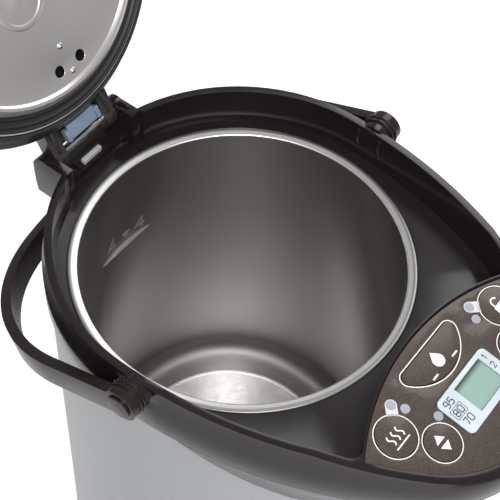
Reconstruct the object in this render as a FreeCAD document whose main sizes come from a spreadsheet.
import FreeCAD, Part
import math
import os
import Sketcher
from FreeCAD import Placement, Rotation, Vector

# Electric thermo pot, about 4 litres, modelled with its lid standing open.
# Frame: Z up from the table, the container axis at X = Y = 0, the spout nose towards -Y.
# Lengths are in millimetres and angles in degrees.
SIZES = [
    ("ring_z", 295.0), ("mouth_r", 83.6), ("can_wall", 1.0), ("can_depth", 215.0),
    ("can_fillet", 12.0), ("flange_r", 88.4), ("flange_t", 1.0), ("ring_r", 88.7),
    ("ring_drop", 1.6), ("bead_w", 3.0), ("gap", 0.3), ("run", 0.05),
    ("shell_r", 98.3), ("shell_wall", 1.2), ("shell_z", 22.0), ("shell_drop", 4.7),
    ("lip_r", 98.5), ("nose_r", 65.2), ("nose_y", 106.8), ("side_r", 250.0),
    ("skirt_out", 2.0), ("skirt_drop", 8.0), ("skirt_top", 8.0), ("lip_step", 12.0),
    ("lip_h", 22.0), ("lip_wall", 4.0), ("deck_drop", 0.8), ("deck_bottom", 4.4),
    ("ledge_r", 85.4), ("ledge_drop", 2.7), ("mouth_clear", 0.35), ("skin", 2.5),
    ("arc_r", 128.5), ("arc_y", 96.5), ("seat_corner", 6.0), ("panel_y", 100.0), ("panel_z", 20.0),
    ("panel_tilt", 10.0), ("panel_t", 1.6), ("panel_ledge", 1.6), ("panel_gap", 0.3),
    ("bay_half", 29.5), ("ear_in", 23.3), ("hinge_y", 107.5), ("hinge_dz", 16.0),
    ("pin_r", 2.5), ("pin_half", 29.0), ("knuckle_r", 6.0), ("ear_r", 6.5),
    ("bay_floor", 4.0), ("bay_y", 98.4), ("arm_in", 14.8), ("arm_w", 8.0), ("lid_open", 118.0),
    ("pivot_y", -12.0), ("pivot_dz", 15.0), ("stud_r", 5.0), ("boss_in", 101.2),
    ("boss_out", 110.0), ("boss_r", 9.0), ("bail_side", 110.0), ("bail_corner", 85.0),
    ("bail_back_r", 200.0), ("bail_reach", 134.5), ("bail_t", 5.5), ("bail_w", 14.0),
    ("bail_tilt", 22.5), ("stud_in", 96.2), ("stud_out", 106.5),
    ("beak_drop", 58.0), ("beak_r", 27.0), ("beak_y", 124.0), ("beak_cut_y", 36.0),
    ("base_z", 4.0), ("base_r", 98.3), ("base_foot_r", 94.0), ("base_wall", 2.4),
    ("foot_r", 9.0), ("foot_at", 76.0), ("post_r", 5.0), ("post_at", 82.0), ("plate_z", 66.0),
    ("plate_t", 1.5), ("heater_r", 62.0), ("heater_t", 5.0), ("coil_r", 38.0),
    ("coil_w", 4.5), ("wrap_t", 2.0), ("wrap_low", 95.0), ("wrap_drop", 16.0),
    ("pump_y", 52.0), ("pump_r", 20.0), ("pump_z", 44.0), ("pump_h", 14.0),
    ("pump_wall", 2.0), ("impeller_r", 15.0), ("blade_h", 6.0), ("motor_r", 14.0),
    ("motor_h", 24.0), ("shaft_r", 1.5), ("magnet_r", 13.0), ("magnet_t", 4.0),
    ("gauge_y", 91.3), ("gauge_r", 4.0), ("gauge_bore", 3.3), ("gauge_low", 72.0),
    ("gauge_top", 258.0), ("ball_r", 3.0), ("strip_half", 20.0), ("strip_t", 3.2),
    ("slot_half", 5.0), ("slot_low", 82.0), ("slot_high", 226.0), ("window_t", 1.2),
    ("pipe_r", 4.0), ("pipe_wall", 0.9), ("pipe_bend", 10.0), ("spout_y", 146.0),
    ("spout_r", 6.5), ("spout_low", 226.0), ("inlet_half", 16.0), ("inlet_low", 30.0),
    ("inlet_high", 50.0), ("inlet_deep", 16.0), ("prong_r", 1.6), ("prong_at", 6.0),
    ("button_gap", 0.35), ("button_t", 3.2), ("button_rise", 0.4), ("travel", 0.8),
    ("reboil_x", 45.5), ("reboil_v", 20.0), ("reboil_r", 10.0), ("temp_x", 33.2),
    ("temp_v", 38.0), ("temp_r", 9.0), ("disp_r", 24.0), ("disp_v", -3.0),
    ("disp_flat", 4.8), ("disp_corner", 3.2), ("lcd_half", 20.5), ("lcd_v0", 25.0), ("lcd_v1", 47.0),
    ("win_x0", -7.5), ("win_x1", 14.5), ("win_v0", 27.5), ("win_v1", 43.5),
    ("board_drop", 6.6), ("board_t", 1.6), ("switch_half", 3.0), ("lens_r", 2.4),
    ("lid_gap", 1.1), ("lid_foot_r", 88.0), ("lid_foot", 2.0), ("lid_cone", 9.0),
    ("lid_side", 20.0), ("lid_top", 24.5), ("lid_wall", 2.2), 
    ("rim_r", 86.0), ("rim_z", 2.6), ("rim_t", 2.6), ("seal_r", 84.9), ("seal_in", 76.8),
    ("seal_z", 0.5), ("tray_r", 76.3), ("tray_z", -0.5), ("tray_t", 0.8), ("roll_in", 71.0),
    ("roll_drop", 2.0), ("duct_x", 3.0), ("duct_y", 62.8), ("duct_r", 14.0),
    ("latch_y", 60.0), ("latch_half", 17.0), ("latch_len", 26.0), ("latch_t", 3.0),
    ("bolt_half", 8.0), ("bolt_h", 5.0), ("bolt_z", 12.0), ("bolt_out", 3.0),
    ("lever_half", 9.5), ("lever_len", 7.8), ("lever_t", 2.2), ("lever_z", 8.5),
]

doc = FreeCAD.newDocument("ThermoPot")
sheet = doc.addObject("Spreadsheet::Sheet", "Sizes")
for row, (alias, number) in enumerate(SIZES, start=1):
    sheet.set("A%d" % row, alias)
    sheet.set("B%d" % row, repr(number))
    sheet.setAlias("B%d" % row, alias)
doc.recompute()


class Size:
    """A length held both as a number and as the sheet expression that gives it."""

    def __init__(self, number, text):
        self.number = float(number)
        self.text = text

    def __add__(self, other):
        other = as_size(other)
        return Size(self.number + other.number, "(%s + %s)" % (self.text, other.text))

    def __radd__(self, other):
        return as_size(other) + self

    def __sub__(self, other):
        other = as_size(other)
        return Size(self.number - other.number, "(%s - %s)" % (self.text, other.text))

    def __rsub__(self, other):
        return as_size(other) - self

    def __mul__(self, factor):
        return Size(self.number * factor, "(%s * %r)" % (self.text, factor))

    def __neg__(self):
        return Size(-self.number, "(0 - %s)" % self.text)

    def __float__(self):
        return self.number


def as_size(value):
    return value if isinstance(value, Size) else Size(value, repr(float(value)))


class Names:
    """The sheet's aliases as attributes."""


S = Names()   # sizes with their expressions, for sketches and features
N = Names()   # the same sizes as plain numbers, for shapes
for alias, _ in SIZES:
    number = float(sheet.get(alias))
    setattr(S, alias, Size(number, "Sizes." + alias))
    setattr(N, alias, number)

parts = {}
X_AXIS = Vector(1, 0, 0)
Y_AXIS = Vector(0, 1, 0)
Z_AXIS = Vector(0, 0, 1)
TOP = 400.0   # higher than anything, for cuts that run right through


# Bodies
def new_body(name):
    body = doc.addObject("PartDesign::Body", name)
    body.Label = name
    parts[name] = body
    return body


def plane_of(body, role):
    for item in body.Origin.OriginFeatures:
        if item.Role == role:
            return item
    raise ValueError(role)


def new_sketch(body, role, name, lift=None):
    sketch = body.newObject("Sketcher::SketchObject", name)
    sketch.AttachmentSupport = [(plane_of(body, role), "")]
    sketch.MapMode = "FlatFace"
    if lift is not None:
        sketch.setExpression("AttachmentOffset.Base.z", as_size(lift).text)
    return sketch


def pin_point(sketch, geo, pos, point):
    """Ties one sketch point to the sheet by its two coordinates."""
    for kind, value in (("DistanceX", point[0]), ("DistanceY", point[1])):
        value = as_size(value)
        index = sketch.addConstraint(
            Sketcher.Constraint(kind, -1, 1, geo, pos, value.number))
        sketch.setExpression("Constraints[%d]" % index, value.text)


def draw_polygon(sketch, points):
    first = sketch.GeometryCount
    flat = [Vector(float(x), float(y), 0) for x, y in points]
    count = len(flat)
    for i in range(count):
        sketch.addGeometry(Part.LineSegment(flat[i], flat[(i + 1) % count]), False)
    for i in range(count):
        after = first + (i + 1) % count
        sketch.addConstraint(Sketcher.Constraint("Coincident", first + i, 2, after, 1))
    for i, point in enumerate(points):
        pin_point(sketch, first + i, 1, point)


def draw_circle(sketch, centre, radius):
    radius = as_size(radius)
    middle = Vector(float(centre[0]), float(centre[1]), 0)
    geo = sketch.addGeometry(Part.Circle(middle, Z_AXIS, radius.number), False)
    index = sketch.addConstraint(Sketcher.Constraint("Radius", geo, radius.number))
    sketch.setExpression("Constraints[%d]" % index, radius.text)
    pin_point(sketch, geo, 3, centre)


def box_points(x0, x1, y0, y1):
    return [(x0, y0), (x1, y0), (x1, y1), (x0, y1)]


def revolve(body, points, name="Profile"):
    """Turns a profile of (radius, height) points round the Z axis."""
    sketch = new_sketch(body, "XZ_Plane", body.Name + name)
    draw_polygon(sketch, points)
    turn = body.newObject("PartDesign::Revolution", body.Name + name + "Turn")
    turn.Profile = sketch
    turn.ReferenceAxis = (sketch, ["V_Axis"])
    turn.Angle = 360.0
    return turn


def pad(body, role, length, draw, lift=None, name="Pad", both=False):
    sketch = new_sketch(body, role, body.Name + name + "Sketch", lift)
    draw(sketch)
    feature = body.newObject("PartDesign::Pad", body.Name + name)
    feature.Profile = sketch
    feature.setExpression("Length", as_size(length).text)
    feature.Midplane = both
    return feature


def pocket(body, role, length, draw, lift=None, name="Cut", reverse=False, both=False):
    doc.recompute()
    before = body.Shape.Volume
    sketch = new_sketch(body, role, body.Name + name + "Sketch", lift)
    draw(sketch)
    feature = body.newObject("PartDesign::Pocket", body.Name + name)
    feature.Profile = sketch
    feature.setExpression("Length", as_size(length).text)
    feature.Reversed = reverse
    feature.Midplane = both
    doc.recompute()
    if body.Shape.Volume > before - 0.01:
        raise RuntimeError("%s cut nothing from %s" % (name, body.Label))
    return feature


def ring_body(name, inner, outer, low, high):
    body = new_body(name)
    revolve(body, box_points(inner, outer, low, high))
    return body


def feature(name, shape, where=None):
    """A sub-part whose shape is computed below from the sheet's sizes."""
    item = doc.addObject("Part::Feature", name)
    item.Label = name
    item.Shape = shape.removeSplitter() if shape.ShapeType != "Solid" else shape
    item.Placement = where or Placement()
    parts[name] = item
    return item


# Shapes
def tube(radius, low, high, x=0.0, y=0.0):
    return Part.makeCylinder(radius, high - low, Vector(x, y, low))


def rod_x(radius, x0, x1, y, z):
    return Part.makeCylinder(radius, x1 - x0, Vector(x0, y, z), X_AXIS)


def block(x0, x1, y0, y1, z0, z1):
    return Part.makeBox(x1 - x0, y1 - y0, z1 - z0, Vector(x0, y0, z0))


def egg_wire(grow, z, main=None, nose=None, nose_y=None):
    """Plan outline of the top: a round back, two long side arcs and a round nose."""
    main = (main or N.lip_r)
    nose = (nose or N.nose_r)
    nose_y = nose_y or N.nose_y
    near = N.side_r - main
    far = N.side_r - nose
    cy = (far * far - near * near - nose_y * nose_y) / (2.0 * nose_y)
    cx = math.sqrt(near * near - cy * cy)

    def on_side(y_from, span, y_centre, radius):
        dx = cx / span
        dy = (y_centre - y_from) / span
        return Vector(dx * (radius + grow), y_centre + dy * (radius + grow), z)

    back = on_side(cy, near, 0.0, main)
    front = on_side(cy, far, -nose_y, nose)
    side_y = 0.5 * (back.y + front.y)
    side_x = -cx + math.sqrt((N.side_r + grow) ** 2 - (side_y - cy) ** 2)

    def left(point):
        return Vector(-point.x, point.y, point.z)

    side = Vector(side_x, side_y, z)
    edges = [
        Part.Arc(back, Vector(0, main + grow, z), left(back)),
        Part.Arc(left(back), left(side), left(front)),
        Part.Arc(left(front), Vector(0, -nose_y - nose - grow, z), front),
        Part.Arc(front, side, back),
    ]
    return Part.Wire([edge.toShape() for edge in edges])


def egg(grow, low, high):
    return Part.Face(egg_wire(grow, low)).extrude(Vector(0, 0, high - low))


def egg_loft(grow_low, low, grow_high, high):
    return Part.makeLoft([egg_wire(grow_low, low), egg_wire(grow_high, high)], True)


def panel_zone(grow, low, high):
    """Everything in front of the panel's rear arc, which bulges towards the mouth."""
    return tube(N.arc_r + grow, low, high, 0.0, -N.arc_y - N.arc_r)


def seat_zone(shrink, low, high):
    """The space that the lid fills: inside the lip and behind the panel's rear arc."""
    zone = egg(-N.lip_wall - shrink, low, high).cut(panel_zone(shrink, 0, TOP))
    corners = [e for e in zone.Edges if e.BoundBox.ZLength > high - low - 0.01
               and e.BoundBox.YMax < -90 and e.BoundBox.XLength < 0.01]
    return zone.makeFillet(N.seat_corner - min(shrink, 3.0), corners)


def tilt_placement():
    return Placement(Vector(0, -N.panel_y, N.ring_z + N.panel_z),
                     Rotation(X_AXIS, N.panel_tilt))


def above_panel(lift):
    """Half space above the sloping panel plane, raised by lift."""
    half = Part.makeBox(400, 400, 200, Vector(-200, -300, lift))
    half.Placement = tilt_placement()
    return half


def hollow_pipe(points, radius, wall, bend):
    """A round tube along straight runs joined by equal bends."""
    edges = []
    start = points[0]
    for before, corner, after in zip(points, points[1:], points[2:]):
        into = (corner - before).normalize()
        out = (after - corner).normalize()
        turn = into.getAngle(out)
        cut = bend * math.tan(turn / 2.0)
        p0 = corner - into * cut
        p1 = corner + out * cut
        inward = (out - into).normalize()
        centre = corner + inward * (bend / math.cos(turn / 2.0))
        middle = centre - inward * bend
        edges.append(Part.LineSegment(start, p0).toShape())
        edges.append(Part.Arc(p0, middle, p1).toShape())
        start = p1
    edges.append(Part.LineSegment(start, points[-1]).toShape())
    path = Part.Wire(edges)
    along = (points[1] - points[0]).normalize()
    solids = []
    for r in (radius, radius - wall):
        ring = Part.Wire([Part.Circle(points[0], along, r).toShape()])
        solids.append(path.makePipeShell([ring], True, False))
    return solids[0].cut(solids[1])


Z = N.ring_z
RING = S.ring_z

# Water container
can = new_body("container")
can_pad = pad(
    can, "XY_Plane", S.can_depth + S.can_wall - S.ring_drop - S.flange_t,
    lambda sk: draw_circle(sk, (0, 0), S.mouth_r + S.can_wall), RING - S.can_depth - S.can_wall)
doc.recompute()
floor_z = Z - N.can_depth - N.can_wall
round_edges = ["Edge%d" % (i + 1) for i, e in enumerate(can.Shape.Edges)
               if e.BoundBox.ZMax < floor_z + 0.5]
fillet = can.newObject("PartDesign::Fillet", "containerFillet")
fillet.Base = (can_pad, round_edges)
fillet.setExpression("Radius", (S.can_fillet + S.can_wall).text)
doc.recompute()
top_faces = ["Face%d" % (i + 1) for i, f in enumerate(can.Shape.Faces)
             if f.BoundBox.ZMin > Z - N.ring_drop - N.flange_t - 0.5]
shelled = can.newObject("PartDesign::Thickness", "containerShell")
shelled.Base = (fillet, top_faces)
shelled.setExpression("Value", S.can_wall.text)
shelled.Mode = 0
shelled.Join = 0
shelled.Reversed = True
doc.recompute()
revolve(can, box_points(S.mouth_r, S.flange_r, RING - S.ring_drop - S.flange_t,
                        RING - S.ring_drop), "Flange")

ring = new_body("mouth_ring")
revolve(ring, [
    (S.mouth_r, RING - S.ring_drop), (S.ring_r, RING - S.ring_drop),
    (S.ring_r, RING - 0.4), (S.ring_r - 0.4, RING),
    (S.mouth_r + S.bead_w, RING), (S.mouth_r + S.bead_w * 0.75, RING - 0.45),
    (S.mouth_r + S.bead_w * 0.25, RING - 0.45), (S.mouth_r, RING - 0.9)])

ring_body("insulation_wrap", S.mouth_r + S.can_wall + S.gap,
          S.mouth_r + S.can_wall + S.gap + S.wrap_t, S.wrap_low, RING - S.wrap_drop)

can_base = RING - S.can_depth - S.can_wall
heater = new_body("heater_plate")
revolve(heater, box_points(0, S.heater_r, can_base - S.heater_t, can_base))
ring_body("heater_element", S.coil_r, S.coil_r + S.coil_w,
          can_base - S.heater_t - S.coil_w, can_base - S.heater_t)
plate = new_body("mounting_plate")
revolve(plate, box_points(0, S.post_at + S.post_r + 3.0, S.plate_z, S.plate_z + S.plate_t))
pocket(plate, "XY_Plane", S.plate_t * 3,
       lambda sk: [draw_circle(sk, (0, -S.pump_y), S.pump_r * 0.6),
                   draw_circle(sk, (0, -S.gauge_y), S.gauge_r + S.gap)],
       S.plate_z - S.plate_t, reverse=True)

probe = new_body("thermistor")
probe_top = can_base - S.heater_t
pad(probe, "XY_Plane", probe_top - S.plate_z - S.plate_t,
    lambda sk: draw_circle(sk, (0, 14), 3.0), S.plate_z + S.plate_t)
fuse = new_body("thermal_fuse")
pad(fuse, "XY_Plane", 5.0, lambda sk: draw_polygon(sk, box_points(-14, -4, -6, 6)),
    probe_top - 5.0)

# Outer jacket and base
jacket = new_body("outer_shell")
jacket_top = RING - S.shell_drop
revolve(jacket, box_points(S.shell_r - S.shell_wall, S.shell_r, S.shell_z, jacket_top))
doc.recompute()
pocket(jacket, "XZ_Plane", S.shell_r * 1.2, lambda sk: draw_polygon(sk, box_points(
    -S.slot_half - 1.5, S.slot_half + 1.5, S.slot_low - 2.0, S.slot_high + 2.0)),
    name="GaugeSlot", reverse=True)
pocket(jacket, "XZ_Plane", S.shell_r * 1.2, lambda sk: draw_polygon(sk, box_points(
    -S.pipe_r - 2.0, S.pipe_r + 2.0, S.gauge_top - 2.0, jacket_top + 1.0)),
    name="PipeSlot", reverse=True)
pocket(jacket, "XZ_Plane", S.shell_r * 1.2, lambda sk: draw_polygon(sk, box_points(
    -S.inlet_half, S.inlet_half, S.inlet_low, S.inlet_high)), name="InletHole")

tray = new_body("base_tray")
revolve(tray, [
    (0, S.base_z), (S.base_foot_r - 3.0, S.base_z), (S.base_foot_r, S.base_z + 3.0),
    (S.base_r + 1.2, S.shell_z - 6.0), (S.base_r + 1.2, S.shell_z + 2.0),
    (S.base_r + S.gap, S.shell_z + 2.0), (S.base_r + S.gap, S.shell_z),
    (S.base_r - S.base_wall, S.shell_z), (S.base_r - S.base_wall, S.shell_z - 5.0),
    (S.base_foot_r - S.base_wall, S.base_z + 4.5), (S.base_foot_r - 5.0, S.base_z + S.base_wall),
    (0, S.base_z + S.base_wall)])
doc.recompute()


def draw_ring_of(radius, at, count, start):
    def draw(sk):
        for i in range(count):
            a = math.radians(start + 360.0 * i / count)
            draw_circle(sk, (at * round(math.cos(a), 6), at * round(math.sin(a), 6)), radius)
    return draw


pad(tray, "XY_Plane", S.plate_z - S.base_z - S.base_wall,
    draw_ring_of(S.post_r, S.post_at, 4, 20.0), S.base_z + S.base_wall, "Posts")
feet = new_body("rubber_feet")
pad(feet, "XY_Plane", S.base_z, draw_ring_of(S.foot_r, S.foot_at, 4, 45.0))
screws = new_body("base_screws")
pad(screws, "XY_Plane", 2.0, draw_ring_of(as_size(3.5), S.post_at, 4, 20.0),
    S.plate_z + S.plate_t)

power = new_body("power_board")
board_z = S.base_z + S.base_wall
pad(power, "XY_Plane", 1.6, lambda sk: draw_polygon(sk, box_points(-42, 42, 8, 58)),
    board_z + 6.0)
pad(power, "XY_Plane", 6.0, lambda sk: [draw_circle(sk, (x, y), 3.0)
                                        for x in (-36, 36) for y in (14, 52)],
    board_z, "Standoffs")
trafo = new_body("transformer")
pad(trafo, "XY_Plane", 22.0, lambda sk: draw_polygon(sk, box_points(-30, -2, 18, 48)),
    board_z + 7.6)
relay = new_body("relay_block")
pad(relay, "XY_Plane", 16.0, lambda sk: draw_polygon(sk, box_points(8, 34, 22, 42)),
    board_z + 7.6)

socket = new_body("inlet_socket")
back = N.shell_r - N.shell_wall
pad(socket, "XZ_Plane", S.inlet_deep, lambda sk: draw_polygon(sk, box_points(
    -S.inlet_half + S.gap, S.inlet_half - S.gap, S.inlet_low + S.gap,
    S.inlet_high - S.gap)), -(S.shell_r + 0.8))
doc.recompute()
pocket(socket, "XZ_Plane", S.inlet_deep - 3.0, lambda sk: draw_polygon(sk, box_points(
    -S.inlet_half + 3.0, S.inlet_half - 3.0, S.inlet_low + 3.0, S.inlet_high - 3.0)),
    -(S.shell_r + 0.8), "Mouth", reverse=True)
pad(socket, "XY_Plane", S.inlet_low + S.gap - board_z, lambda sk: draw_polygon(
    sk, box_points(-8, 8, S.shell_r - S.inlet_deep + 1.0, S.shell_r - S.inlet_deep + 4.0)),
    board_z, "Foot")
prongs = new_body("inlet_pins")
prong_z = (S.inlet_low + S.inlet_high) * 0.5
pad(prongs, "XZ_Plane", S.inlet_deep - 6.0, lambda sk: [
    draw_circle(sk, (x, prong_z), S.prong_r) for x in (-S.prong_at, S.prong_at)],
    -(S.shell_r - 2.2))

# Pump, motor and pipes
py = -N.pump_y
pz = N.pump_z
cup = tube(N.pump_r, pz, pz + N.pump_h, 0, py)
cup = cup.cut(tube(N.pump_r - N.pump_wall, pz + N.pump_wall, pz + N.pump_h + 1, 0, py))
outlet_x0 = Vector(0, py - N.pump_r + 1.0, pz + N.pump_h - 6.0)
outlet_end = Vector(0, -N.gauge_y, N.gauge_low)
spigot = Part.makeCylinder(3.6, N.gauge_y - N.pump_y - N.pump_r - 6.0, outlet_x0, -Y_AXIS)
bore = Part.makeCylinder(2.6, 20.0, outlet_x0 + Vector(0, 5, 0), -Y_AXIS)
legs = None
for turn in range(3):
    a = math.radians(90 + 120 * turn)
    leg = tube(3.0, N.base_z + N.base_wall, pz + 3.0,
               (N.pump_r + 1.5) * math.cos(a), py + (N.pump_r + 1.5) * math.sin(a))
    leg = leg.cut(tube(N.pump_r - N.pump_wall, 0, TOP, 0, py))
    legs = leg if legs is None else legs.fuse(leg)
feature("pump_housing", cup.fuse(spigot).fuse(legs).cut(bore))
lid_z = pz + N.pump_h
suction_top = float(can_base) - N.heater_t - N.gap
cover = tube(N.pump_r, lid_z, lid_z + N.pump_wall, 0, py)
cover = cover.fuse(tube(4.5, lid_z, lid_z + 8.0, 0, py)).cut(tube(3.3, pz, TOP, 0, py))
feature("pump_cover", cover)
suction = tube(6.2, lid_z + 3.0, suction_top, 0, py)
suction = suction.cut(tube(4.8, 0, TOP, 0, py))
feature("suction_pipe", suction)
hub_z = pz + N.pump_wall + 0.8
wheel = tube(N.impeller_r, hub_z, hub_z + 1.5, 0, py).fuse(tube(3.5, hub_z, hub_z + 7.0, 0, py))
for turn in range(6):
    blade = block(2.5, N.impeller_r - 1.0, -0.6, 0.6, hub_z + 1.0, hub_z + 1.5 + N.blade_h)
    blade.rotate(Vector(0, 0, 0), Z_AXIS, 14)
    blade.rotate(Vector(0, 0, 0), Z_AXIS, 60 * turn)
    blade.translate(Vector(0, py, 0))
    wheel = wheel.fuse(blade)
feature("impeller", wheel)
magnet_z = pz - N.gap - N.magnet_t
disc = tube(N.magnet_r, magnet_z, magnet_z + N.magnet_t, 0, py)
motor_top = magnet_z - 1.0
shaft = tube(N.shaft_r, motor_top - 8.0, magnet_z, 0, py)
feature("drive_magnet", disc.fuse(shaft))
case = tube(N.motor_r, motor_top - N.motor_h, motor_top, 0, py)
case = case.cut(tube(N.shaft_r + N.run, motor_top - 8.0 - N.gap, motor_top + 1, 0, py))
case = case.fuse(tube(6.0, N.base_z + N.base_wall, motor_top - N.motor_h, 0, py))
feature("pump_motor", case)

riser_start = Vector(0, outlet_x0.y - (N.gauge_y - N.pump_y - N.pump_r - 6.0), outlet_x0.z)
riser = hollow_pipe([riser_start, Vector(0, -N.gauge_y, outlet_x0.z),
                     Vector(0, -N.gauge_y, N.gauge_low)], N.gauge_r, 1.6, 4.5)
feature("riser_elbow", riser)
gauge = new_body("gauge_tube")
pad(gauge, "XY_Plane", S.gauge_top - S.gauge_low,
    lambda sk: [draw_circle(sk, (0, -S.gauge_y), r) for r in (S.gauge_r, S.gauge_bore)],
    S.gauge_low)
ball = doc.addObject("Part::Sphere", "level_ball")
ball.Label = "level_ball"
ball.setExpression("Radius", S.ball_r.text)
ball.setExpression("Placement.Base.y", (-S.gauge_y).text)
ball.setExpression("Placement.Base.z", (S.gauge_low + S.ball_r + S.gap).text)
parts["level_ball"] = ball
delivery_z = N.gauge_top + 11.0
delivery = hollow_pipe([
    Vector(0, -N.gauge_y, N.gauge_top), Vector(0, -N.gauge_y, delivery_z + 3.0),
    Vector(0, -N.spout_y, delivery_z - 2.0), Vector(0, -N.spout_y, N.spout_low + 14.0)],
    N.pipe_r, N.pipe_wall, N.pipe_bend)
feature("delivery_pipe", delivery)
nozzle = tube(N.spout_r, N.spout_low, N.spout_low + 12.0, 0, -N.spout_y)
nozzle = nozzle.fuse(Part.makeCone(N.spout_r, N.pipe_r + 1.6, 4.0,
                                   Vector(0, -N.spout_y, N.spout_low + 12.0)))
nozzle = nozzle.cut(tube(N.pipe_r + 0.1, N.spout_low + 12.0, TOP, 0, -N.spout_y))
nozzle = nozzle.cut(tube(N.pipe_r - N.pipe_wall, 0, TOP, 0, -N.spout_y))
feature("spout_nozzle", nozzle)

# Gauge strip on the front
front = N.shell_r + N.gap
strip = tube(front + N.strip_t, N.shell_z + 2.5, Z - N.beak_drop - N.gap)
strip = strip.cut(tube(front, 0, TOP))
strip = strip.common(block(-N.strip_half, N.strip_half, -200, 0, 0, TOP))
strip = strip.cut(block(-N.slot_half, N.slot_half, -200, 0, N.slot_low, N.slot_high))
recess = block(-N.slot_half - 2, N.slot_half + 2, -front - 1.4, 0, N.slot_low - 2, N.slot_high + 2)
strip = strip.cut(recess)
feature("gauge_cover", strip)
pane = block(-N.slot_half - 1.7, N.slot_half + 1.7, -front - 1.4, -front - 1.4 + N.window_t,
             N.slot_low - 1.7, N.slot_high + 1.7)
pane = pane.fuse(block(-N.slot_half + 0.3, N.slot_half - 0.3, -front - N.strip_t + 0.3,
                       -front - 1.4, N.slot_low + 0.3, N.slot_high - 0.3))
feature("gauge_window", pane)

# Top frame
hy = N.hinge_y
hz = Z + N.hinge_dz
skirt_low = Z - N.skirt_drop
frame = egg(N.skirt_out, skirt_low, Z + N.skirt_top)
frame = frame.fuse(egg_loft(N.skirt_out, Z + N.skirt_top, 0.0, Z + N.lip_step))
frame = frame.fuse(egg(0.0, Z + N.lip_step, Z + N.lip_h))
seat = seat_zone(0.0, Z - N.deck_drop, TOP)
frame = frame.cut(seat)
frame = frame.cut(tube(N.ring_r + N.mouth_clear, Z - N.ledge_drop, TOP))
frame = frame.cut(tube(N.ledge_r, 0, TOP))
frame = frame.cut(tube(N.shell_r + N.gap, 0, Z - N.deck_bottom))
frame = frame.cut(egg(N.skirt_out - N.skin, 0, Z - N.deck_bottom))
under = egg(N.skirt_out - N.skin, 0, TOP).common(panel_zone(-N.skin, 0, TOP))
under = under.cut(above_panel(-N.panel_t - 2.0))
frame = frame.cut(under)
front_zone = block(-200, 200, -300, -N.arc_y + 3.5, 0, TOP)
frame = frame.cut(above_panel(1.2).common(front_zone))
film_zone = egg(-N.lip_wall, 0, TOP).common(panel_zone(-1.0, 0, TOP))
frame = frame.cut(film_zone.common(above_panel(-N.panel_t)))
open_zone = egg(-N.lip_wall - N.panel_ledge, 0, TOP)
open_zone = open_zone.common(panel_zone(-1.0 - N.panel_ledge, 0, TOP))
frame = frame.cut(open_zone.common(above_panel(-N.panel_t - 12.0)))
frame = frame.cut(block(-N.bay_half, N.bay_half, 60, 140, Z - N.deck_drop, TOP))
ear_block = None
for side in (-1, 1):
    x0, x1 = sorted((side * N.ear_in, side * N.bay_half))
    ear = block(x0, x1, 92.0, hy + N.ear_r, skirt_low + 4.0, hz)
    ear = ear.fuse(rod_x(N.ear_r, x0, x1, hy, hz))
    ear = ear.fuse(block(x0, x1, 92.0, hy, hz, Z + N.lip_h))
    ear_block = ear if ear_block is None else ear_block.fuse(ear)
bracket = block(-N.bay_half, N.bay_half, N.bay_y, hy + N.ear_r, skirt_low + 4.0,
                Z + N.bay_floor)
sweep_r = N.bail_reach - N.bail_back_r - 0.8 + math.sqrt(
    (N.bail_back_r - N.bail_t) ** 2 - N.bay_half ** 2)
swing = rod_x(sweep_r, -N.bay_half, N.bay_half, N.pivot_y, Z + N.pivot_dz)
ear_block = ear_block.fuse(bracket).common(swing)
frame = frame.fuse(ear_block.cut(tube(N.shell_r + N.gap, 0, Z - N.deck_bottom)))
frame = frame.cut(rod_x(N.pin_r + 0.02, -N.pin_half - 0.3, N.pin_half + 0.3, hy, hz))
for side in (-1, 1):
    x0, x1 = sorted((side * (N.lip_r - 2.0), side * (N.boss_in - N.gap)))
    frame = frame.fuse(rod_x(N.stud_r + 3.5, x0, x1, N.pivot_y, Z + N.pivot_dz))
    x0, x1 = sorted((side * N.stud_in, side * (N.boss_in + 1)))
    frame = frame.cut(rod_x(N.stud_r, x0, x1, N.pivot_y, Z + N.pivot_dz))
keep = block(-N.bolt_half - 0.6, N.bolt_half + 0.6, -N.arc_y - 4.0, -N.arc_y + 1.0,
             Z + N.bolt_z - 0.6, Z + N.bolt_z + N.bolt_h + 0.6)
frame = frame.cut(keep)
feature("top_frame", frame)

studs = None
for side in (-1, 1):
    x0, x1 = sorted((side * N.stud_in, side * N.stud_out))
    stud = rod_x(N.stud_r, x0, x1, N.pivot_y, Z + N.pivot_dz)
    studs = stud if studs is None else studs.fuse(stud)
feature("handle_studs", studs)
feature("hinge_pin", rod_x(N.pin_r, -N.pin_half, N.pin_half, hy, hz))

beak_top = skirt_low - N.gap
beak_low = Z - N.beak_drop


def beak(shrink):
    wires = [egg_wire(N.skirt_out - shrink, beak_top),
             egg_wire(-shrink, beak_low, N.lip_r, N.beak_r, N.beak_y)]
    solid = Part.makeLoft(wires, True, True)
    solid = solid.cut(tube(N.shell_r + N.gap + shrink, 0, TOP))
    rear = -N.beak_cut_y - shrink
    wedge = Part.makePolygon([
        Vector(-200, rear, beak_top), Vector(-200, rear - 62.0, beak_low - 1),
        Vector(-200, 150, beak_low - 1), Vector(-200, 150, beak_top + 1),
        Vector(-200, rear, beak_top + 1), Vector(-200, rear, beak_top)])
    return solid.cut(Part.Face(wedge).extrude(Vector(400, 0, 0)))


nose = beak(0.0).cut(beak(N.skin).common(block(-200, 200, -300, 0, beak_low + N.skin, TOP)))
nose = nose.cut(tube(N.spout_r + N.gap, 0, TOP, 0, -N.spout_y))
pipe_room = N.pipe_r + 1.5
nose = nose.cut(block(-pipe_room, pipe_room, -N.shell_r - 8.0, 0, N.gauge_top - 2, TOP))
feature("nose_cover", nose)

# Control panel
tilt = tilt_placement()


def place_tilted(shape):
    shape.Placement = tilt
    return shape


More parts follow.
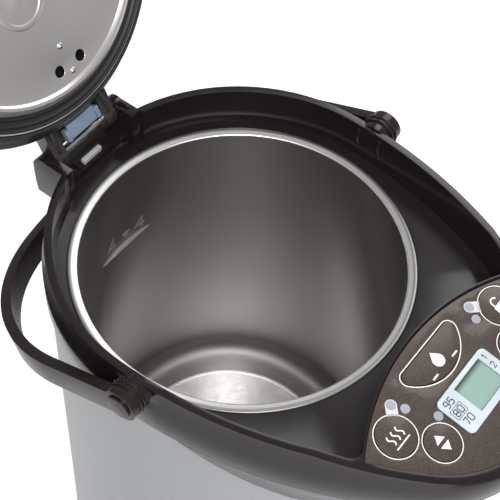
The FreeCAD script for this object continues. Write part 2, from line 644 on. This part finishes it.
def disp_outline(grow, low, high):
    face = tube(N.disp_r + grow, low, high, 0.0, -N.disp_v)
    face = face.common(block(-60, 60, -60, -N.disp_flat + grow, low, high))
    ends = [e for e in face.Edges if e.BoundBox.ZLength > high - low - 0.01
            and e.BoundBox.YMin > -N.disp_flat + grow - 0.01]
    return face.makeFillet(N.disp_corner + grow, ends)


def button_shapes(grow, low, high):
    return {
        "button_dispense": disp_outline(grow, low, high),
        "button_reboil": tube(N.reboil_r + grow, low, high, -N.reboil_x, -N.reboil_v),
        "button_unlock": tube(N.reboil_r + grow, low, high, N.reboil_x, -N.reboil_v),
        "button_temp": tube(N.temp_r + grow, low, high, -N.temp_x, -N.temp_v),
        "button_timer": tube(N.temp_r + grow, low, high, N.temp_x, -N.temp_v),
    }


LENSES = [(-34.4, 9.5), (-31.2, 15.5), (-23.6, 29.3), (34.4, 9.5), (31.2, 15.5)]
film = egg(-N.lip_wall - N.panel_gap, 0, TOP).common(panel_zone(-1.0 - N.panel_gap, 0, TOP))
film = film.common(above_panel(-N.panel_t)).cut(above_panel(0.0))
holes = button_shapes(N.button_gap, -5.0, 5.0)
for hole in holes.values():
    film = film.cut(place_tilted(hole))
lcd_hole = block(-N.lcd_half, N.lcd_half, -N.lcd_v1, -N.lcd_v0, -0.8, 5.0)
film = film.cut(place_tilted(lcd_hole))
window = block(N.win_x0, N.win_x1, -N.win_v1, -N.win_v0, -5.0, 5.0)
film = film.cut(place_tilted(window.copy()))
for x, v in LENSES:
    film = film.cut(place_tilted(tube(N.lens_r, -5.0, 5.0, x, -v)))
feature("control_panel", film)

board_top = -N.board_drop
stem_low = board_top + 1.9 + N.travel + 0.4
for name, cap in button_shapes(0.0, -N.button_t + N.button_rise, N.button_rise).items():
    centre = cap.BoundBox.Center
    if name == "button_dispense":
        centre = Vector(0, -N.disp_v - 15.0, 0)
    stem = tube(2.0, stem_low, -N.button_t + N.button_rise + 0.5, centre.x, centre.y)
    feature(name, cap.fuse(stem), tilt)
bezel = block(-N.lcd_half + 0.1, N.lcd_half - 0.1, -N.lcd_v1 + 0.1, -N.lcd_v0 - 0.1, -0.8, 0.3)
corners = [e for e in bezel.Edges if e.BoundBox.ZLength > 1.0]
bezel = bezel.makeFillet(3.0, corners).cut(window)
feature("lcd_bezel", bezel, tilt)
glass = block(N.win_x0 + 0.1, N.win_x1 - 0.1, -N.win_v1 + 0.1, -N.win_v0 - 0.1, -2.4, -1.0)
feature("lcd_glass", glass, tilt)
module = block(N.win_x0 - 2, N.win_x1 + 2, -N.win_v1 - 2, -N.win_v0 + 2, board_top, -2.4)
feature("lcd_module", module, tilt)
lenses = None
for x, v in LENSES:
    lens = tube(N.lens_r - 0.05, board_top, 0.15, x, -v)
    lenses = lens if lenses is None else lenses.fuse(lens)
feature("led_lenses", lenses, tilt)
board = egg(-N.lip_wall - N.panel_ledge - 2.0, 0, TOP)
board = board.common(panel_zone(-3.0 - N.panel_ledge, 0, TOP))
board = board.common(above_panel(board_top - N.board_t)).cut(above_panel(board_top))
feature("control_board", board)
switches = None
for name, cap in button_shapes(0.0, 0.0, 1.0).items():
    centre = cap.BoundBox.Center
    if name == "button_dispense":
        centre = Vector(0, -N.disp_v - 15.0, 0)
    half = N.switch_half
    switch = block(centre.x - half, centre.x + half, centre.y - half, centre.y + half,
                   board_top, board_top + 1.9)
    switches = switch if switches is None else switches.fuse(switch)
feature("tact_switches", switches, tilt)

# Carrying handle
def bail_face(shrink):
    """Half of the handle's outline is a straight side, a corner arc and the back arc."""
    side = N.bail_side - shrink
    corner = N.bail_corner - shrink
    back_r = N.bail_back_r - shrink
    back_c = N.bail_reach - N.bail_back_r
    cx = N.bail_side - N.bail_corner
    span = N.bail_back_r - N.bail_corner
    cw = back_c + math.sqrt(span * span - cx * cx)
    ux, uw = cx / span, (cw - back_c) / span
    a = Vector(side, 0, 0)
    b = Vector(side, cw, 0)
    c = Vector(cx + ux * corner, cw + uw * corner, 0)
    half = math.atan2(0.5 * uw + 0.0, 0.5 * (ux + 1.0))
    mid = Vector(cx + corner * math.cos(half), cw + corner * math.sin(half), 0)
    top = Vector(0, back_c + back_r, 0)

    def left(point):
        return Vector(-point.x, point.y, 0)

    edges = [
        Part.LineSegment(a, b), Part.Arc(b, mid, c), Part.Arc(c, top, left(c)),
        Part.Arc(left(c), left(mid), left(b)), Part.LineSegment(left(b), left(a)),
        Part.LineSegment(left(a), a),
    ]
    return Part.Face(Part.Wire([edge.toShape() for edge in edges]))


band = bail_face(0.0).extrude(Vector(0, 0, N.bail_w)).cut(
    bail_face(N.bail_t).extrude(Vector(0, 0, N.bail_w)))
band = band.cut(block(-N.bail_side + N.bail_t, N.bail_side - N.bail_t, -1, 1, -1, 99))
band.translate(Vector(0, 0, -N.bail_w / 2.0))
for side in (-1, 1):
    x0, x1 = sorted((side * N.boss_in, side * N.boss_out))
    band = band.fuse(rod_x(N.boss_r, x0, x1, 0, 0))
    x0, x1 = sorted((side * (N.boss_in - 1), side * (N.stud_out + N.gap)))
    band = band.cut(rod_x(N.stud_r + N.run, x0, x1, 0, 0))
bail_at = Placement(Vector(0, N.pivot_y, Z + N.pivot_dz), Rotation(X_AXIS, -N.bail_tilt))
feature("handle_bail", band, bail_at)
caps = None
for side in (-1, 1):
    x0, x1 = sorted((side * N.boss_out, side * (N.boss_out + 1.4)))
    cap = rod_x(N.boss_r - 2.5, x0, x1, 0, 0)
    caps = cap if caps is None else caps.fuse(cap)
feature("handle_caps", caps, bail_at)

# Lid, drawn closed, placed open
opened = Placement(Vector(0, 0, 0), Rotation(X_AXIS, -N.lid_open), Vector(0, hy, hz))


def lid_zone(shrink, low, high):
    return seat_zone(N.lid_gap + shrink, low, high)


def cone(r0, r1, z0, z1):
    return Part.makeCone(r0, r1, z1 - z0, Vector(0, 0, z0))


lid_r = N.lip_r - N.lip_wall - N.lid_gap
shell = cone(N.lid_foot_r, lid_r - 0.2, Z + N.lid_foot, Z + N.lid_cone)
crown = lid_zone(0.0, Z + N.lid_cone, Z + N.lid_top)
brow = [e for e in crown.Edges if e.BoundBox.ZMin > Z + N.lid_top - 0.01]
shell = shell.fuse(crown.makeFillet(N.lid_top - N.lid_side - 0.3, brow))
for side in (-1, 1):
    x0, x1 = sorted((side * N.arm_in, side * (N.arm_in + N.arm_w)))
    arm = block(x0, x1, 80.0, hy, hz - 5.0, hz + 4.0)
    arm = arm.fuse(rod_x(N.knuckle_r, x0, x1, hy, hz))
    shell = shell.fuse(arm)
inner = cone(N.lid_foot_r - N.lid_wall, lid_r - N.lid_wall - 0.6, Z + N.lid_foot - 1.0,
             Z + N.lid_cone + 1.0)
inner = inner.fuse(lid_zone(N.lid_wall, Z + N.lid_cone, Z + N.lid_side - 0.5))
inner = inner.cut(block(-N.bolt_half - 4, N.bolt_half + 4, -N.latch_y - 12, -N.latch_y + 2,
                        Z + N.lid_side - 3.0, TOP))
shell = shell.cut(inner)
shell = shell.cut(rod_x(N.pin_r + N.run, -40, 40, hy, hz))
latch_top = Z + N.lid_top
latch_bay = block(-N.latch_half - 0.4, N.latch_half + 0.4, -N.latch_y - N.latch_len - 0.4,
                  -N.latch_y + 0.4, Z + N.lid_side + 0.2, TOP)
shell = shell.cut(latch_bay)
scoop_y = -N.latch_y - N.latch_len
shell = shell.cut(block(-9.0, 9.0, scoop_y - 4.5, scoop_y + 1.0, Z + N.lid_side + 1.2, TOP))
bolt_y = -N.arc_y + N.lid_gap
bolt_way = block(-N.bolt_half - 0.3, N.bolt_half + 0.3, bolt_y - 1, bolt_y + 8,
                 Z + N.bolt_z - 0.3, Z + N.bolt_z + N.bolt_h + 0.3)
shell = shell.cut(bolt_way)
vent_hole = tube(N.duct_r - 2.0, Z + N.lid_side - 2, TOP, N.duct_x, N.duct_y - 20.0)
shell = shell.cut(vent_hole)
feature("lid_shell", shell, opened)

rim = tube(N.rim_r - 0.25, Z + N.rim_z, Z + N.rim_z + N.rim_t)
rim = rim.cut(tube(30.0, 0, TOP)).cut(tube(N.duct_r + N.gap, 0, TOP, N.duct_x, N.duct_y))
rim = rim.fuse(tube(N.rim_r - 0.25, Z + N.lid_foot, Z + N.rim_z).cut(
    tube(N.seal_r + 0.05, 0, TOP)))
feature("lid_rim", rim, opened)
seal_pts = [
    (N.seal_in, N.rim_z), (N.seal_in, 0.8), (78.2, N.seal_z), (79.4, 1.4), (80.6, 1.4),
    (81.8, N.seal_z), (83.0, 1.4), (N.seal_r - 0.6, N.seal_z + 0.2), (N.seal_r, 1.2),
    (N.seal_r, N.rim_z)]


def lathe(points):
    wire = Part.makePolygon([Vector(r, 0, Z + h) for r, h in points + points[:1]])
    return Part.Face(wire).revolve(Vector(0, 0, 0), Z_AXIS, 360)


feature("lid_seal", lathe(seal_pts), opened)
tray_pts = [
    (0.0, N.tray_z), (N.roll_in, N.tray_z), (N.roll_in + 1.2, N.tray_z - N.roll_drop * 0.8),
    (N.roll_in + 2.6, N.tray_z - N.roll_drop), (N.tray_r - 1.2, N.tray_z - N.roll_drop * 0.7),
    (N.tray_r, N.tray_z), (N.tray_r, N.rim_z), (N.tray_r - 1.0, N.rim_z),
    (N.tray_r - 1.0, N.tray_z + 0.6), (N.tray_r - 2.4, N.tray_z - 0.4),
    (N.roll_in + 2.0, N.tray_z - 0.4), (N.roll_in + 0.6, N.tray_z + N.tray_t),
    (0.0, N.tray_z + N.tray_t)]
tray_plate = lathe(tray_pts)
for x, y in ((-4.3, 62.9), (10.6, 62.8)):
    tray_plate = tray_plate.cut(tube(3.0, 0, TOP, x, y))
feature("lid_inner_plate", tray_plate, opened)

duct_low = Z + N.tray_z + N.tray_t
duct = tube(N.duct_r, duct_low, Z + N.rim_z + N.rim_t + 6.0, N.duct_x, N.duct_y)
duct = duct.cut(tube(N.duct_r - 1.6, duct_low - 1, Z + N.rim_z + N.rim_t + 4.0,
                     N.duct_x, N.duct_y))
duct = duct.common(tube(74.0, 0, TOP))
feature("steam_duct", duct, opened)
vent = tube(N.duct_r - 2.3, Z + N.lid_side - 1.5, Z + N.lid_top + 1.0, N.duct_x,
            N.duct_y - 20.0)
for i in range(-2, 3):
    slot_at = N.duct_y - 20.0 + i * 4.0
    vent = vent.cut(block(N.duct_x - 6.5, N.duct_x + 6.5, slot_at - 0.9, slot_at + 0.9, 0, TOP))
feature("vent_cap", vent, opened)

lever = block(-N.latch_half, N.latch_half, -N.latch_y - N.latch_len, -N.latch_y,
              Z + N.lid_side + 0.6, Z + N.lid_top)
lever = lever.common(lid_zone(0.8, 0, TOP))
feature("latch_lever", lever, opened)
bolt = block(-N.bolt_half, N.bolt_half, bolt_y - N.bolt_out, bolt_y + 16.0,
             Z + N.bolt_z, Z + N.bolt_z + N.bolt_h)
feature("latch_bolt", bolt, opened)

tongue_r = lid_r + N.gap
tongue = block(-N.lever_half, N.lever_half, tongue_r - 4.0, tongue_r + N.lever_len,
               Z + N.lever_z, Z + N.lever_z + N.lever_t)
tongue = tongue.cut(tube(tongue_r, 0, TOP))
feature("lid_release_lever", tongue, opened)

# Checks and export
doc.recompute()
for item in doc.Objects:
    if "Invalid" in item.State or "Error" in item.State:
        raise RuntimeError("%s is %s" % (item.Label, item.State))
os.makedirs("parts", exist_ok=True)
for name, item in sorted(parts.items()):
    shape = item.Shape
    if shape.isNull() or not shape.isValid():
        raise RuntimeError("%s has no valid shape" % name)
    box = shape.BoundBox
    print("%-18s solids %d  volume %.0f  z %.1f to %.1f" % (
        name, len(shape.Solids), shape.Volume, box.ZMin, box.ZMax))
    shape.exportStep("parts/%s.step" % name)
